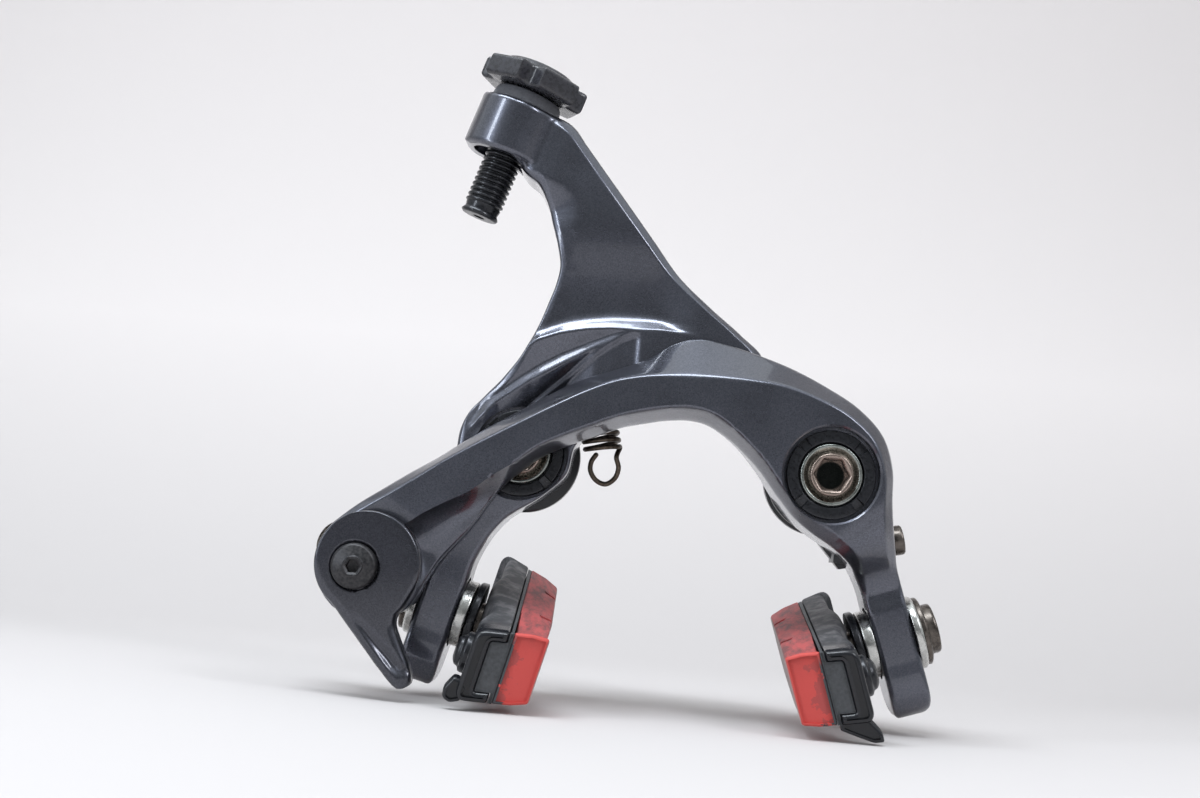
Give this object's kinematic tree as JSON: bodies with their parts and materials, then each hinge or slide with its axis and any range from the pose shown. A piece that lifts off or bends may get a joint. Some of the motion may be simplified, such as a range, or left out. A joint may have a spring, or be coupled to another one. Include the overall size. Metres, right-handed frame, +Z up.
{
  "type": "bicycle rim brake caliper",
  "caption": "Dual-pivot bicycle rim brake caliper on two frame bolts, with crossing arms, cable adjuster, release lever and red pads.",
  "frame": {"origin": "midway between the two mounting bolt axes, on the rear seating plane that meets the bicycle frame", "axes": "+X to the viewer's right, +Y back into the bicycle frame along the mounting bolts, +Z up towards the adjuster"},
  "size_m": [0.111, 0.0515, 0.116],
  "materials": {
    "arm_paint": "deep blue-black gloss paint on forged aluminium",
    "black_alloy": "gloss black anodised aluminium",
    "black_plastic": "moulded nylon, satin",
    "black_steel": "blackened steel",
    "dark_steel": "dull dark steel",
    "steel": "bright turned steel",
    "plated_steel": "warm grey plated steel",
    "spring_steel": "oiled spring wire",
    "bush_bronze": "sintered bronze",
    "grey_rubber": "matt grey rubber",
    "black_rubber": "matt hard rubber",
    "red_compound": "matt red brake compound with dark wear"
  },
  "bodies": {
    "mount_side": {"booster_plate": "black_alloy", "pivot_axle_left": "steel", "pivot_axle_right": "steel", "spanner_ring_left": "black_steel", "spanner_ring_right": "black_steel", "cup_washer_left": "dark_steel", "cup_washer_right": "dark_steel", "mounting_bolt_left": "plated_steel", "mounting_bolt_right": "plated_steel"},
    "cable_arm": {"cable_arm": "arm_paint", "pivot_bush_right": "bush_bronze", "spring_seat": "black_alloy", "pivot_spring": "spring_steel", "link_pin": "steel", "link_roller": "steel"},
    "housing_arm": {"housing_arm": "arm_paint", "pivot_bush_left": "bush_bronze", "return_spring": "spring_steel", "adjuster_seal": "grey_rubber"},
    "lever": {"quick_release_lever": "arm_paint", "lever_pin": "black_steel"},
    "anchor": {"cable_anchor": "dark_steel", "cable_clamp_plate": "steel", "cable_clamp_bolt": "dark_steel"},
    "centring_screw": {"centring_screw": "dark_steel"},
    "knob": {"adjuster_knob": "black_plastic"},
    "stem": {"adjuster_stem": "black_steel"},
    "shoe_clamp_left": {"shoe_bolt_left": "dark_steel", "outer_washer_left": "steel", "domed_washer_left": "steel", "hollow_washer_left": "steel"},
    "shoe_left": {"shoe_holder_left": "black_alloy", "pad_base_left": "black_rubber", "pad_compound_left": "red_compound", "pad_screw_left": "black_steel"},
    "shoe_clamp_right": {"shoe_bolt_right": "dark_steel", "outer_washer_right": "steel", "domed_washer_right": "steel", "hollow_washer_right": "steel"},
    "shoe_right": {"shoe_holder_right": "black_alloy", "pad_base_right": "black_rubber", "pad_compound_right": "red_compound", "pad_screw_right": "black_steel"}
  },
  "joints": [
    {"name": "cable_arm_pivot", "type": "hinge", "parent": "mount_side", "child": "cable_arm", "pos_m": [0.027, 0, 0], "axis": [0, 1, 0], "range_deg": [0, 16], "stiffness_Nm_per_rad": 0.3, "springref_deg": -28.65},
    {"name": "housing_arm_pivot", "type": "hinge", "parent": "mount_side", "child": "housing_arm", "pos_m": [-0.027, 0, 0], "axis": [0, 1, 0], "range_deg": [-16, 0]},
    {"name": "lever_cam", "type": "hinge", "parent": "cable_arm", "child": "lever", "pos_m": [-0.0502, -0.02, -0.0214], "axis": [0, 1, 0], "range_deg": [0, 95]},
    {"name": "anchor_swivel", "type": "hinge", "parent": "lever", "child": "anchor", "pos_m": [-0.05224, -0.0125, -0.02191], "axis": [0, 1, 0], "range_deg": [-95, 0]},
    {"name": "centring_turn", "type": "hinge", "parent": "cable_arm", "child": "centring_screw", "pos_m": [0.0399, -0.009, -0.0102], "axis": [0.97, 0, 0.243], "range_deg": [-360, 360]},
    {"name": "knob_turn", "type": "hinge", "parent": "housing_arm", "child": "knob", "pos_m": [-0.0342, -0.009, 0.056], "axis": [0.309, 0, 0.9511], "range_deg": [-2880, 0]},
    {"name": "stem_lift", "type": "slide", "parent": "housing_arm", "child": "stem", "axis": [0.309, 0, 0.9511], "range_m": [0, 0.008]},
    {"name": "shoe_height_left", "type": "slide", "parent": "housing_arm", "child": "shoe_clamp_left", "axis": [0.2504, 0, 0.9681], "range_m": [-0.0032, 0.0032]},
    {"name": "shoe_pitch_left", "type": "hinge", "parent": "shoe_clamp_left", "child": "shoe_left", "pos_m": [-0.0393, -0.009, -0.028], "axis": [0.9681, 0, -0.2504], "range_deg": [-6, 6]},
    {"name": "shoe_height_right", "type": "slide", "parent": "cable_arm", "child": "shoe_clamp_right", "axis": [-0.3256, 0, 0.9455], "range_m": [-0.0032, 0.0032]},
    {"name": "shoe_pitch_right", "type": "hinge", "parent": "shoe_clamp_right", "child": "shoe_right", "pos_m": [0.041, -0.009, -0.0273], "axis": [-0.9455, 0, -0.3256], "range_deg": [-6, 6]}
  ],
  "couplings": [
    {"joint": "housing_arm_pivot", "follows": "cable_arm_pivot", "ratio": -1},
    {"joint": "anchor_swivel", "follows": "lever_cam", "ratio": -1},
    {"joint": "knob_turn", "follows": "stem_lift", "rad_per_m": -6283.2}
  ]
}
